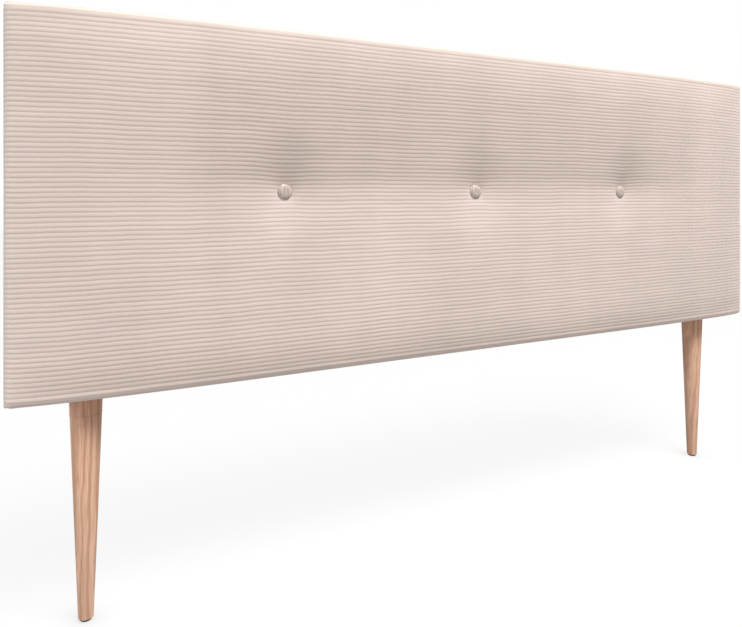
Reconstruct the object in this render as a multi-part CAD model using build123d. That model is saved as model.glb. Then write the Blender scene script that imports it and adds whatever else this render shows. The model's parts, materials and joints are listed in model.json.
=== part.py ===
from build123d import *
import os

# Upholstered headboard: a padded corduroy panel with three tufted buttons on two turned legs.
# Lengths are in millimetres. X runs along the width, the padded face looks to -Y, +Z is up.
# The origin lies on the floor under the middle of the headboard's bounding box.

# Panel seen from the front
panel_width = 1600.0
panel_height = 570.0

# Layers of the panel, from its padded front to its back
cover_thickness = 1.2
wadding_crown = 6.0
wadding_face_thickness = 14.0
wadding_side_thickness = 4.0
foam_thickness = 12.0
board_thickness = 4.0
frame_depth = 50.0
dust_cover_thickness = 0.8

# Form of the padding: its rounded edges, its crown and the valley that joins the buttons
pad_edge_radius = 12.0
pad_corner_radius = 9.0
button_valley = 2.5
crown_power = 4
crown_station_shares = (-1, -0.85, -0.65, -0.25, 0.25, 0.65, 0.85, 1)

# Tufts
button_spacing = 389.0
button_height_on_panel = 304.0
button_shares = (-1, 0, 1)
tuft_depth = 16.0
tuft_radius = 82.0
tuft_ring_shares = (1, 0.45, 0)

# Covered buttons
button_diameter = 27.0
button_crest = 7.0
button_rim = 2.0
button_flat_share = 0.55
button_fabric = 1.0
button_shell_wall = 0.6
button_tuck_width = 3.0
button_back_thickness = 1.4
button_gap = 0.1
shank_slit = 8.0
shank_hole_diameter = 9.0

# Strip loop behind each button, and the twine that passes through it
loop_strip = 1.2
loop_opening = 4.0
loop_reach = 4.0
twine_width = 1.4
twine_spread = 2.0
twine_hole_gap = 0.2

# Plastic toggle behind the face board, and the knot behind the anchor
anchor_length = 26.0
anchor_width = 11.0
anchor_thickness = 3.0
knot_width = 5.0
knot_length = 3.2

# Timber frame, with a stub tenon at each end of its uprights
rail_height = 45.0
stile_width = 45.0
inner_stile_shares = (-0.5, 0.5)
tenon_length = 20.0
tenon_thickness = 16.0
tenon_shoulder = 8.0
tenon_gap = 0.1
tenon_end_gap = 1.0

# Folded hem of the cover, and the dust cover over it
hem_width = 40.0
dust_cover_margin = 14.0

# Turned legs
leg_length = 341.0
leg_inset = 110.0
leg_top_diameter = 48.0
leg_foot_diameter = 22.0
leg_foot_bevel = 2.0

# Hanger bolts, and the insert nuts in the bottom rail that take them
bolt_diameter = 8.0
bolt_in_leg = 28.0
bolt_in_nut = 18.0
bolt_gap = 0.1
cover_bolt_hole = 9.0
nut_radius = 6.0
nut_flange_radius = 8.0
nut_flange_thickness = 1.5
nut_length = 20.0
nut_gap = 0.1
drill_allowance = 1.0

# Nail-in glides under the legs
glide_radius = 8.5
glide_thickness = 3.0
glide_nail_radius = 1.2
glide_nail_length = 14.0
glide_gap = 0.1

# Length by which a cutting tool runs past what it cuts
overrun = 5.0

# Planes of the layers from front to back
panel_depth = (
    cover_thickness + wadding_crown + wadding_face_thickness + foam_thickness + board_thickness
    + frame_depth + cover_thickness + dust_cover_thickness
)
cover_crest_y = -panel_depth / 2
wadding_crest_y = cover_crest_y + cover_thickness
wadding_face_y = wadding_crest_y + wadding_crown
foam_front_y = wadding_face_y + wadding_face_thickness
board_front_y = foam_front_y + foam_thickness
frame_front_y = board_front_y + board_thickness
frame_back_y = frame_front_y + frame_depth
frame_middle_y = (frame_front_y + frame_back_y) / 2
hem_back_y = frame_back_y + cover_thickness
dust_back_y = hem_back_y + dust_cover_thickness

# Outline of the wadding, and of the foam, board and frame inside it
panel_middle_z = leg_length + panel_height / 2
pad_half_width = panel_width / 2 - cover_thickness
pad_bottom_z = leg_length + cover_thickness
pad_top_z = leg_length + panel_height - cover_thickness
core_half_width = pad_half_width - wadding_side_thickness
core_top_z = pad_top_z - wadding_side_thickness
face_half_width = pad_half_width - pad_edge_radius

# Middles of the buttons and of the legs
button_z = leg_length + button_height_on_panel
button_radius = button_diameter / 2
button_places = [share * button_spacing for share in button_shares]
leg_x = panel_width / 2 - leg_inset
leg_places = {"left": -leg_x, "right": leg_x}


# Helpers for plain shapes

def block(x_span, y_span, z_span):
    """Box between two ends along each axis."""
    spans = (x_span, y_span, z_span)
    corner = [low for low, high in spans]
    size = [high - low for low, high in spans]
    return Pos(*corner) * Box(*size, align=(Align.MIN, Align.MIN, Align.MIN))


def rod(radius, low_z, high_z):
    """Round bar, or the tool for a round hole, on the Z axis."""
    bar = Cylinder(radius, high_z - low_z, align=(Align.CENTER, Align.CENTER, Align.MIN))
    return Pos(0, 0, low_z) * bar


def turned(points):
    """Solid turned about Z from the corners of its outline, each a radius and a height."""
    corners = [(radius, 0, z) for radius, z in points]
    return revolve(make_face(Polyline(*corners, close=True)), axis=Axis.Z)


def across(x, y, shape):
    """Shape made about Z, laid at a button's height so that its +Z looks out of the padded face."""
    return Pos(x, y, button_z) * Rot(90, 0, 0) * shape


# The padded form: crowned between its rounded edges, with a valley and three tufts

def outline_prism(skin, front_y, back_y):
    """Prism of the wadding's outline seen from the front, grown by the skin on it."""
    width = 2 * (pad_half_width + skin)
    height = pad_top_z - pad_bottom_z + 2 * skin
    outline = RectangleRounded(width, height, pad_corner_radius + skin)
    plate = extrude(outline, back_y - front_y)
    return Pos(0, back_y, panel_middle_z) * Rot(90, 0, 0) * plate


def edge_section(skin, back_y):
    """Outline across the panel, with its front arrises rounded and its face flat."""
    radius = pad_edge_radius + skin
    low_z = pad_bottom_z - skin
    high_z = pad_top_z + skin
    edge_y = wadding_face_y - skin
    low_side = (0, edge_y + radius, low_z)
    high_side = (0, edge_y + radius, high_z)
    low_edge = (0, edge_y, low_z + radius)
    high_edge = (0, edge_y, high_z - radius)
    return [
        TangentArc(low_side, low_edge, tangent=(0, -1, 0)),
        Line(low_edge, high_edge),
        TangentArc(high_edge, high_side, tangent=(0, 0, 1)),
        Polyline(high_side, (0, back_y, high_z), (0, back_y, low_z), low_side),
    ]


def edge_plan(skin, back_y):
    """Outline seen from above, with its front corners rounded and its face flat."""
    radius = pad_edge_radius + skin
    half_width = pad_half_width + skin
    edge_y = wadding_face_y - skin
    side_y = edge_y + radius
    flat = face_half_width
    return [
        TangentArc((-half_width, side_y), (-flat, edge_y), tangent=(0, -1)),
        Line((-flat, edge_y), (flat, edge_y)),
        TangentArc((flat, edge_y), (half_width, side_y), tangent=(1, 0)),
        Polyline(
            (half_width, side_y),
            (half_width, back_y),
            (-half_width, back_y),
            (-half_width, side_y),
        ),
    ]


def edge_form(skin, back_y):
    """Padding up to its flat face, rounded along its four front arrises and at its corners."""
    half_width = pad_half_width + skin
    height = pad_top_z - pad_bottom_z + 2 * skin
    along = extrude(make_face(edge_section(skin, back_y)), 2 * half_width, dir=(1, 0, 0))
    upright = extrude(make_face(edge_plan(skin, back_y)), height)
    form = Pos(-half_width, 0, 0) * along & Pos(0, 0, pad_bottom_z - skin) * upright
    return form & outline_prism(skin, wadding_face_y - skin, back_y)


def crown_section(share, skin):
    """Two lobes and the valley between them, at a share of the face's half width."""
    rise_share = 1 - abs(share) ** crown_power
    x = share * face_half_width
    low_z = pad_bottom_z + pad_edge_radius
    high_z = pad_top_z - pad_edge_radius
    face_y = wadding_face_y - skin
    foot_y = face_y + pad_edge_radius
    crest_y = face_y - rise_share * wadding_crown
    valley_y = crest_y + rise_share * button_valley
    low, high, valley = (x, face_y, low_z), (x, face_y, high_z), (x, valley_y, button_z)
    low_crest = (x, crest_y, (low_z + button_z) / 2)
    high_crest = (x, crest_y, (high_z + button_z) / 2)
    if rise_share > 0:
        lobes = [ThreePointArc(low, low_crest, valley), ThreePointArc(valley, high_crest, high)]
    else:
        lobes = [Line(low, valley), Line(valley, high)]
    foot = [
        Line(high, (x, foot_y, high_z)),
        Line((x, foot_y, high_z), (x, foot_y, low_z)),
        Line((x, foot_y, low_z), low),
    ]
    return Wire(lobes + foot)


def tuft_tool():
    """Tool that draws the padding in round a button, like the mouth of a trumpet."""
    points = [(0, overrun), (tuft_radius, overrun)]
    for share in tuft_ring_shares:
        radius = button_radius + share * (tuft_radius - button_radius)
        points.append((radius, -tuft_depth * (1 - share) ** 2))
    points.append((0, -tuft_depth))
    return turned(points)


def padded_form(skin, back_y):
    """Whole padding out to the skin that lies on the wadding, flat at the back."""
    sections = [crown_section(share, skin) for share in crown_station_shares]
    form = edge_form(skin, back_y) + Solid.make_loft(sections, ruled=True)
    return form - [across(x, wadding_crest_y - skin, tuft_tool()) for x in button_places]


def core_slab(front_y, back_y):
    """Flat layer inside the wadding."""
    return outline_prism(-wadding_side_thickness, front_y, back_y)


def shank_slits():
    """Tools for the square openings under the buttons in the cover, wadding and foam."""
    half = shank_slit / 2
    tool = block((-half, half), (-half, half), (-panel_depth, panel_depth))
    return [across(x, 0, tool) for x in button_places]


def make_foam_pad():
    """Foam slab glued to the face board."""
    return core_slab(foam_front_y, board_front_y) - shank_slits()


def make_face_board():
    """Thin board on the front of the frame that carries the foam, drilled at each button."""
    drill = rod(shank_hole_diameter / 2, -panel_depth, panel_depth)
    return core_slab(board_front_y, frame_front_y) - [across(x, 0, drill) for x in button_places]


def make_wadding():
    """Thick wadding over the foam, which also wraps the top and the ends of the frame."""
    frame_space = block(
        (-core_half_width, core_half_width),
        (frame_front_y, frame_back_y),
        (leg_length, core_top_z),
    )
    layer = padded_form(0, frame_back_y) - core_slab(foam_front_y, frame_front_y)
    return layer - frame_space - shank_slits()


# The cover with its hem on the back, and the dust cover

def make_fabric_cover():
    """Cover stretched over the padding and folded onto the back of the frame."""
    outer = padded_form(cover_thickness, hem_back_y)
    inside = padded_form(0, frame_back_y)
    hem_half_width = panel_width / 2 - hem_width
    hem_half_height = panel_height / 2 - hem_width
    opening = block(
        (-hem_half_width, hem_half_width),
        (frame_back_y - overrun, hem_back_y + overrun),
        (panel_middle_z - hem_half_height, panel_middle_z + hem_half_height),
    )
    bolt_hole = rod(cover_bolt_hole / 2, leg_length - overrun, leg_length + overrun)
    bolt_holes = [Pos(x, frame_middle_y, 0) * bolt_hole for x in leg_places.values()]
    return outer - inside - opening - bolt_holes - shank_slits()


def make_dust_cover():
    """Thin sheet that closes the back of the panel."""
    half_width = panel_width / 2 - dust_cover_margin
    half_height = panel_height / 2 - dust_cover_margin
    return block(
        (-half_width, half_width),
        (hem_back_y, dust_back_y),
        (panel_middle_z - half_height, panel_middle_z + half_height),
    )


# The timber frame

def stile_places():
    """Name and place along X of each upright of the frame."""
    end_x = core_half_width - stile_width / 2
    left_inner_x, right_inner_x = [share * button_spacing for share in inner_stile_shares]
    return {
        "left_end_stile": -end_x,
        "left_inner_stile": left_inner_x,
        "right_inner_stile": right_inner_x,
        "right_end_stile": end_x,
    }


def tenoned_bar(x, gap, end_gap):
    """Stub tenons of an upright, joined through it, or the tool for their mortises."""
    half_width = stile_width / 2 - tenon_shoulder + gap
    half_thickness = tenon_thickness / 2 + gap
    return block(
        (x - half_width, x + half_width),
        (frame_middle_y - half_thickness, frame_middle_y + half_thickness),
        (
            pad_bottom_z + rail_height - tenon_length - end_gap,
            core_top_z - rail_height + tenon_length + end_gap,
        ),
    )


def make_rail(low_z):
    """Rail over the whole width, rounded like the padding at its outer corners."""
    rail = block(
        (-core_half_width, core_half_width),
        (frame_front_y, frame_back_y),
        (low_z, low_z + rail_height),
    )
    rail &= outline_prism(0, frame_front_y, frame_back_y)
    return rail - [tenoned_bar(x, tenon_gap, tenon_end_gap) for x in stile_places().values()]


def make_bottom_rail():
    """Bottom rail, bored from below for the insert nuts."""
    bore = insert_nut(nut_gap, 0)
    bores = [Pos(x, frame_middle_y, pad_bottom_z) * bore for x in leg_places.values()]
    return make_rail(pad_bottom_z) - bores


def make_stile(x):
    """Upright that stands between the rails, with its tenons in them."""
    upright = block(
        (x - stile_width / 2, x + stile_width / 2),
        (frame_front_y, frame_back_y),
        (pad_bottom_z + rail_height, core_top_z - rail_height),
    )
    return upright + tenoned_bar(x, 0, 0)


# Buttons, their twines and the anchors behind the board

def dome_points(radius, crest):
    """Corners of a flat-topped dome's outline from its crest out to its rim."""
    return [(0, crest), (button_flat_share * radius, crest), (radius, button_rim)]


def make_button_fabric():
    """Corduroy drawn over the button's shell and tucked in behind it."""
    inner_radius = button_radius - button_fabric
    tuck_radius = button_radius - button_tuck_width
    outer = dome_points(button_radius, button_crest)
    inner = dome_points(inner_radius, button_crest - button_fabric)
    tuck = [
        (button_radius, 0),
        (tuck_radius, 0),
        (tuck_radius, button_fabric),
        (inner_radius, button_fabric),
    ]
    return turned(outer + tuck + inner[::-1])


def make_button_shell():
    """Pressed metal dome inside the fabric."""
    radius = button_radius - button_fabric - button_gap
    crest = button_crest - button_fabric - button_gap
    inner_radius = radius - button_shell_wall
    low_z = button_fabric + button_gap
    outer = dome_points(radius, crest)
    inner = dome_points(inner_radius, crest - button_shell_wall)
    return turned(outer + [(radius, low_z), (inner_radius, low_z)] + inner[::-1])


def make_button_back():
    """Round back plate with a strip loop that the twine passes through."""
    radius = button_radius - button_tuck_width - button_gap
    half_strip = loop_strip / 2
    half_opening = loop_opening / 2
    half_loop = half_opening + loop_strip
    strip_span = (-half_strip, half_strip)
    loop = block(strip_span, (-half_loop, half_loop), (-loop_reach - loop_strip, 0))
    opening = block(strip_span, (-half_opening, half_opening), (-loop_reach, 0))
    return rod(radius, 0, button_back_thickness) + (loop - opening)


def make_twine():
    """Twine through the loop, with both strands knotted behind the anchor."""
    half_twine = twine_width / 2
    strand_reach = twine_spread + half_twine
    knot_z = anchor_back_z()
    end_z = knot_z - knot_length / 2
    twine_span = (-half_twine, half_twine)
    twine = block((-strand_reach, strand_reach), twine_span, (-loop_reach, twine_width - loop_reach))
    for side in (-1, 1):
        middle = side * twine_spread
        strand_span = (middle - half_twine, middle + half_twine)
        twine += block(strand_span, twine_span, (end_z, -loop_reach))
    half_knot = knot_width / 2
    knot_span = (-half_knot, half_knot)
    return twine + block(knot_span, knot_span, (knot_z - knot_length, knot_z))


def make_anchor():
    """Flat plastic toggle behind the face board, with a slot for each strand."""
    half_slot = twine_width / 2 + twine_hole_gap
    low_z = anchor_back_z()
    toggle = block(
        (-anchor_length / 2, anchor_length / 2),
        (-anchor_width / 2, anchor_width / 2),
        (low_z, low_z + anchor_thickness),
    )
    for side in (-1, 1):
        middle = side * twine_spread
        slot_span = (middle - half_slot, middle + half_slot)
        slot_depth = (low_z - overrun, low_z + anchor_thickness + overrun)
        toggle -= block(slot_span, (-half_slot, half_slot), slot_depth)
    return toggle


def anchor_back_z():
    """Height of the anchor's back face above the tuft's floor, which is below zero."""
    return tuft_floor_y() - frame_front_y - anchor_thickness


def tuft_floor_y():
    """Plane that the buttons rest on."""
    return cover_crest_y + tuft_depth


def at_each_button(shape):
    """One copy of a shape on the floor of each tuft."""
    return Compound(children=[across(x, tuft_floor_y(), shape) for x in button_places])


# Legs and what fastens them

def insert_nut(gap, bore_radius):
    """Flanged nut with its flange's lower face at the origin, or the bore for it."""
    flange_radius = nut_flange_radius + gap
    barrel_radius = nut_radius + gap
    step_z = nut_flange_thickness + gap
    top_z = nut_length + gap
    return turned([
        (bore_radius, 0),
        (flange_radius, 0),
        (flange_radius, step_z),
        (barrel_radius, step_z),
        (barrel_radius, top_z),
        (bore_radius, top_z),
    ])


def make_insert_nut():
    """Insert nut in the bottom rail, with a clear bore for the bolt."""
    return Pos(0, 0, pad_bottom_z) * insert_nut(0, bolt_diameter / 2 + bolt_gap)


def make_hanger_bolt():
    """Bolt that stands out of the leg and screws into the insert nut."""
    return rod(bolt_diameter / 2, leg_length - bolt_in_leg, pad_bottom_z + bolt_in_nut)


def make_leg():
    """Round leg turned to a straight taper, drilled for its bolt and its glide."""
    top_radius = leg_top_diameter / 2
    foot_radius = leg_foot_diameter / 2
    leg = turned([
        (0, glide_thickness),
        (foot_radius - leg_foot_bevel, glide_thickness),
        (foot_radius, glide_thickness + leg_foot_bevel),
        (top_radius, leg_length),
        (0, leg_length),
    ])
    bolt_hole_z = leg_length - bolt_in_leg - drill_allowance
    nail_hole_z = glide_thickness + glide_nail_length + drill_allowance
    leg -= rod(bolt_diameter / 2 + bolt_gap, bolt_hole_z, leg_length + overrun)
    leg -= rod(glide_nail_radius + glide_gap, 0, nail_hole_z)
    return leg


def make_glide():
    """Round glide with its nail, flat where it stands on the floor."""
    return turned([
        (0, 0),
        (glide_radius, 0),
        (glide_radius, glide_thickness),
        (glide_nail_radius, glide_thickness),
        (glide_nail_radius, glide_thickness + glide_nail_length),
        (0, glide_thickness + glide_nail_length),
    ])


def at_each_leg(shape):
    """One copy of a shape on the axis of each leg."""
    return Compound(children=[Pos(x, frame_middle_y, 0) * shape for x in leg_places.values()])


# The nodes

nodes = {
    "fabric_cover": make_fabric_cover(),
    "wadding": make_wadding(),
    "foam_pad": make_foam_pad(),
    "face_board": make_face_board(),
    "dust_cover": make_dust_cover(),
    "top_rail": make_rail(core_top_z - rail_height),
    "bottom_rail": make_bottom_rail(),
    "button_covers": at_each_button(make_button_fabric()),
    "button_shells": at_each_button(make_button_shell()),
    "button_backs": at_each_button(make_button_back()),
    "tuft_twines": at_each_button(make_twine()),
    "tuft_anchors": at_each_button(make_anchor()),
    "insert_nuts": at_each_leg(make_insert_nut()),
    "hanger_bolts": at_each_leg(make_hanger_bolt()),
    "glides": at_each_leg(make_glide()),
}
for name, x in stile_places().items():
    nodes[name] = make_stile(x)
for name, x in leg_places.items():
    nodes[f"{name}_leg"] = Pos(x, frame_middle_y, 0) * make_leg()

os.makedirs("parts", exist_ok=True)
for name, shape in nodes.items():
    export_step(shape, f"parts/{name}.step")
    print(name, "solids", len(shape.solids()), "volume", round(shape.volume))
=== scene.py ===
import json
import math
import bmesh
import bpy
import numpy as np
from mathutils import Matrix, Vector


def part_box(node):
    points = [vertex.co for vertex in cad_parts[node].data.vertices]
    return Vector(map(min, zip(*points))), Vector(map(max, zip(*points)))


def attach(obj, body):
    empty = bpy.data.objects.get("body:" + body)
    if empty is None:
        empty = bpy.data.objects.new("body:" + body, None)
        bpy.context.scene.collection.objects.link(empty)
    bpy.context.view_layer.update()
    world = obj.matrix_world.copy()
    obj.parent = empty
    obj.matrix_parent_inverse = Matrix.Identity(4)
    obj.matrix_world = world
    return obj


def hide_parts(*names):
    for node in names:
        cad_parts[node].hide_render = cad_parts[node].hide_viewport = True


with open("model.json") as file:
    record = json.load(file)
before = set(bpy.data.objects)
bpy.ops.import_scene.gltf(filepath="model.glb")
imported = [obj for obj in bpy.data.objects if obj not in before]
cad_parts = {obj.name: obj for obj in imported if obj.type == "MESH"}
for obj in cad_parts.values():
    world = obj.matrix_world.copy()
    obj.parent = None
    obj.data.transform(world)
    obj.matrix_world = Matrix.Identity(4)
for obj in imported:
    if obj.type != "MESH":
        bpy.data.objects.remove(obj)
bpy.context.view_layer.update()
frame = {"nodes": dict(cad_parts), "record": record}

# Upholstered headboard: a ribbed corduroy panel with three buttons on two turned legs.
# Lengths are in metres. X runs along the width, the padded face looks to -Y, +Z is up.

# Panel, taken from the fixed frame
cover_low, cover_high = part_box("fabric_cover")
half_width = (cover_high.x - cover_low.x) / 2
half_height = (cover_high.z - cover_low.z) / 2
middle_height = (cover_high.z + cover_low.z) / 2
panel_bottom = cover_low.z
panel_back = cover_high.y

# Padding: its crown, the crease that joins the buttons, and its arrises
crown = 0.006
flat_face = cover_low.y + crown
crease_width = 0.015
swell_above = (-0.0020, 0.0014, 0.0048, 0.0078, 0.0103, 0.0122, 0.0133, 0.0132, 0.0096)
swell_below = (-0.0020, 0.0003, 0.0022, 0.0038, 0.0051, 0.0060, 0.0065, 0.0056, 0.0016)
arris_radius = 0.010
corner_radius = 0.0102
fold_radius = 0.003
side_start = flat_face + arris_radius

# Plain padding at the ends: fuller towards the top, and how far in from an end it gives way
crown_flattening = 0.6
top_fullness = 0.0056
fuller_from = 0.60
fuller_over = 0.27
plain_end = 0.12
swell_fade = 0.26

# Tight cloth: the long top and bottom edges rise, and the front's ends and corners are drawn in
end_length = 0.38
corner_length = 0.075
top_rise = 0.0021
top_end_draw = 0.0033
top_corner_draw = 0.0017
bottom_rise = 0.0008
bottom_end_draw = 0.0030
bottom_corner_draw = 0.0014
draw_fades_from = -0.032
draw_fades_over = 0.020

# Corduroy
ribs_on_front = 83
ribs_on_flap = 16
steps_per_rib = 6
rib_height = 0.00055
rib_unevenness = 0.14
hem_rib_height = 0.0007
hem_ribs_from = 0.055
hem_ribs_over = 0.02
arc_length = arris_radius * math.pi / 2
edge_up = half_height - arris_radius + arc_length
edge_along = half_width - arris_radius + arc_length
rib_pitch = 2 * edge_up / ribs_on_front
seam_sink = 0.0009

# Wear and painted highlight along the arrises, and the tilt of the cloth, which paints shade into its
# colour where it faces down and light where it faces up
wear_and_highlight_width = 0.006
most_shade_tilt = 0.16
shade_tilt_up_share = 0.4

# Wander of the ribs: its size, and the share, two rates and start of each of its waves
rib_wander = 0.00032
wander_waves = ((1.0, 27, 9, 1.7), (0.7, 53, -17, 0.6), (0.45, 117, 29, 2.1))

# Where ribs are pressed flatter: on the long arrises, round the buttons and over the legs
arris_press = 0.45
arris_press_before_edge = 0.004
arris_press_width = 0.009
ribs_left_at_button = 0.3
button_press_from = 0.011
button_press_over = 0.016
rib_height_at_leg = 0.0003
room_round_leg = 0.004
flap_at_leg = 0.07

# Columns of the cover's grid: the closest, and how much wider they get past the buttons
closest_columns = 0.0028
wider_columns = ((0.02, 0.015, 0.0027), (0.05, 0.06, 0.0070))
last_column_room = 0.012
columns_on_arris = 5

# Cloth simulation: its settings and length, the most that it may move the cover, what is held
cloth_settings = {
    "quality": 6, "mass": 0.25, "tension_stiffness": 25, "compression_stiffness": 25,
    "shear_stiffness": 8, "bending_stiffness": 1.5, "vertex_group_mass": "held",
    "shrink_min": -0.006, "use_pressure": True, "uniform_pressure_force": 4,
}
settling_frames = 20
most_settled = 0.0022
held_at_edge = 4
held_round_button = 0.002
smoothing_passes = 45

# How far behind its outer face the inside of the cover is, over the padding and on the frame
cover_inside = 0.0024
cover_inside_at_frame = 0.00115
frame_hem_from = 0.06

# Buttons
button_places = (-0.389, 0.0, 0.389)
button_height = 0.645
button_radius = 0.0135
button_crest = 0.007
button_shoulder = 0.0034
button_rim = 0.002
button_edge = 0.0010
button_dome = button_radius - button_edge
button_flat_share = 0.35
dome_rings = 12
button_sides = 72
side_from = 0.55
side_over = 0.45
button_bulge = 0.0003
button_turn = 0.0006
button_tuck = 0.003
button_tuck_thickness = 0.0007
button_pocket = 0.0016
button_pocket_height = 0.0009
button_wall = 0.0022
button_crest_wall = button_wall / 2
button_rib_pitch = 0.0066
button_rib_height = 0.0009

# Tufts, and the small lip of cloth past each button
tuft_depth = 0.016
tuft_radius = 0.088
tuft_seat = 0.0105
tuft_draw = 0.0076
tuft_taller = 1.25
tuft_floor = cover_low.y + tuft_depth
lip_height = 0.0002
lip_height_under = 0.0019
lip_from = 0.004
lip_length = 0.020
lip_edge = 0.0110
lip_edge_width = 0.0025

# Pull of the buttons on the ribs
pull_reach = 0.030
most_pull = 0.0026
pull_width = 0.07
pull_from_below = 0.55
pull_sideways = 0.4

# Legs and glides
leg_places = {"left": -0.690, "right": 0.690}
leg_axis_y = 0.0176
leg_top_radius = 0.024
leg_foot_radius = 0.011
leg_top_round = 0.0006
leg_foot_round = 0.0022
bolt_hole_radius = 0.0041
bolt_hole_depth = 0.029
nail_hole_radius = 0.0013
nail_hole_depth = 0.015
glide_radius = 0.0085
glide_height = 0.003
glide_round = 0.0009
nail_radius = 0.0012
nail_length = 0.0135

# Dust cover
dust_low, dust_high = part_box("dust_cover")
dust_thickness = 0.0004
dust_turn_in = 0.014
turn_in_rise = 0.0003
ripple_height = 0.0006
ripple_width = 0.012
ripple_length = 0.05
slack_height = 0.0007
slack_from = 0.1

# Staples
staple_pitch = 0.045
staple_inset = 0.008
staple_width = 0.0105
staple_half_span = 0.0045
staple_wire_thickness = 0.0006
staple_wire_width = 0.0012
staple_leg = 0.008
staple_round = 0.0002
staple_rise = 0.0013

# Widest miss when faces and edges are picked by their place
hair = 0.0001


# Helpers for pieces

def pick(piece):
    """Select one piece alone and make it active."""
    bpy.ops.object.select_all(action="DESELECT")
    piece.select_set(True)
    bpy.context.view_layer.objects.active = piece


def select_faces(piece, wanted):
    """In edit mode, select the faces whose middle and normal pass a test."""
    bpy.ops.mesh.select_mode(type="FACE")
    bpy.ops.mesh.select_all(action="DESELECT")
    work = bmesh.from_edit_mesh(piece.data)
    for face in work.faces:
        if wanted(face.calc_center_median(), face.normal):
            face.select_set(True)
    bmesh.update_edit_mesh(piece.data)


def select_edges(piece, wanted):
    """In edit mode, select the edges whose two ends pass a test."""
    bpy.ops.mesh.select_mode(type="EDGE")
    bpy.ops.mesh.select_all(action="DESELECT")
    work = bmesh.from_edit_mesh(piece.data)
    for edge in work.edges:
        if wanted(edge.verts[0].co) and wanted(edge.verts[1].co):
            edge.select_set(True)
    bmesh.update_edit_mesh(piece.data)


def place_in_mesh(piece):
    """Move the object's place into its mesh, so that the object sits at the origin."""
    pick(piece)
    bpy.ops.object.transform_apply(location=True, rotation=True, scale=True)


def apply_modifiers(piece):
    """Apply every modifier of a piece, in order."""
    pick(piece)
    for modifier in list(piece.modifiers):
        bpy.ops.object.modifier_apply(modifier=modifier.name)


def object_of(name, points, faces, smooth=True):
    """Piece made in mesh code, with its place in its mesh."""
    mesh = bpy.data.meshes.new(name)
    mesh.from_pydata([tuple(point) for point in points], [], faces)
    mesh.update()
    piece = bpy.data.objects.new(name, mesh)
    bpy.context.collection.objects.link(piece)
    if smooth:
        mesh.polygons.foreach_set("use_smooth", [True] * len(mesh.polygons))
    return piece


def copy_of(piece, name, shift):
    """Copy of a finished piece with its own mesh, moved along X."""
    twin = piece.copy()
    twin.data = piece.data.copy()
    twin.name = twin.data.name = name
    twin.data.transform(Matrix.Translation((shift, 0, 0)))
    bpy.context.collection.objects.link(twin)
    return twin


def grid_faces(high, wide):
    """Faces of a grid whose points are numbered row by row."""
    number = np.arange(high * wide).reshape(high, wide)
    corners = (number[:-1, :-1], number[:-1, 1:], number[1:, 1:], number[1:, :-1])
    return np.stack(corners, axis=-1).reshape(-1, 4).tolist()


def finish_piece(piece, slot, nodes=(), material=None):
    """Give a piece its material, by its slot unless one is given, attach it to the root body, and hide
    the CAD nodes it stands for.
    """
    piece.data.materials.clear()
    piece.data.materials.append(material or finishes[slot])
    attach(piece, "root")
    if nodes:
        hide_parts(*nodes)


def eased(t):
    """Soft step from 0 to 1 as t goes from 0 to 1."""
    t = np.clip(t, 0.0, 1.0)
    return t * t * (3 - 2 * t)


# Padded form

def along_curve(values, share):
    """Value on a smooth curve through evenly spaced values, at a share of its length."""
    values = np.asarray(values)
    at = np.clip(share, 0, 1) * (len(values) - 1)
    low = np.clip(np.floor(at).astype(int), 0, len(values) - 2)
    t = (at - low).reshape(at.shape + (1,) * (values.ndim - 1))
    before, after = np.maximum(low - 1, 0), np.minimum(low + 2, len(values) - 1)
    a, b, c, d = (values[i] for i in (before, low, low + 1, after))
    return b + 0.5 * t * (c - a + t * (2 * a - 5 * b + 4 * c - d + t * (3 * (b - c) + d - a)))


def from_buttons(x, z, taller=1.0):
    """Distance from the nearest button, for a dip that may be taller than wide, most so above."""
    off_z = z - button_height
    off_z = np.where(off_z > 0, off_z / taller, off_z / math.sqrt(taller))
    return np.min([np.hypot(x - place, off_z) for place in button_places], axis=0)


def face_relief(x, z):
    """How far the cloth stands in front of its flat face.

    Between the buttons it swells above and below a soft crease, and at the ends it is
    one plain crown. Each button draws it in further."""
    across = np.clip(np.abs(x) / half_width, 0, 1)
    up = np.clip(np.abs(z - middle_height) / half_height, 0, 1)
    plain = crown * (1 - crown_flattening * up ** 6)
    plain = plain + top_fullness * eased((z - fuller_from) / fuller_over)
    from_crease = np.sqrt((z - button_height) ** 2 + crease_width ** 2) - crease_width
    room_above = middle_height + half_height - button_height
    room_below = button_height - middle_height + half_height
    swell = np.where(
        z > button_height,
        along_curve(swell_above, from_crease / room_above),
        along_curve(swell_below, from_crease / room_below),
    )
    swelled = eased((half_width - np.abs(x) - plain_end) / swell_fade)
    relief = (plain + (swell - plain) * swelled) * (1 - across ** 8)
    past_seat = np.maximum(from_buttons(x, z, tuft_taller) - tuft_seat, 0)
    share = np.clip(past_seat / (tuft_radius - tuft_seat), 0, 1)
    return relief - tuft_draw * (1 - share) ** 2.1 + button_lip(x, z, past_seat)


def button_lip(x, z, past_seat):
    """Small swell of the cloth just past a button, nearly all of it under the button."""
    distance = from_buttons(x, z)
    under = np.clip(0.5 - 0.5 * (z - button_height) / (distance + 1e-9), 0, 1)
    fading = np.exp(-((np.maximum(past_seat - lip_from, 0) / lip_length) ** 2))
    lip = (lip_height + lip_height_under * under ** 1.5) * fading
    return lip * eased((distance - lip_edge) / lip_edge_width)


def dragged(x, z):
    """Where a point of the cloth ends up when the buttons pull it towards themselves."""
    move_x, move_z = np.zeros_like(x), np.zeros_like(z)
    for place in button_places:
        off_x, off_z = x - place, z - button_height
        distance = np.hypot(off_x, off_z) + 1e-9
        reach = distance / pull_reach
        pull = most_pull * reach * np.exp(1 - reach)
        beside = np.exp(-(off_x / pull_width) ** 2) * np.where(off_z > 0, 1.0, pull_from_below)
        move_x -= pull_sideways * pull * off_x / distance
        move_z -= pull * off_z / distance * beside
    return x + move_x, z + move_z


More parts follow.
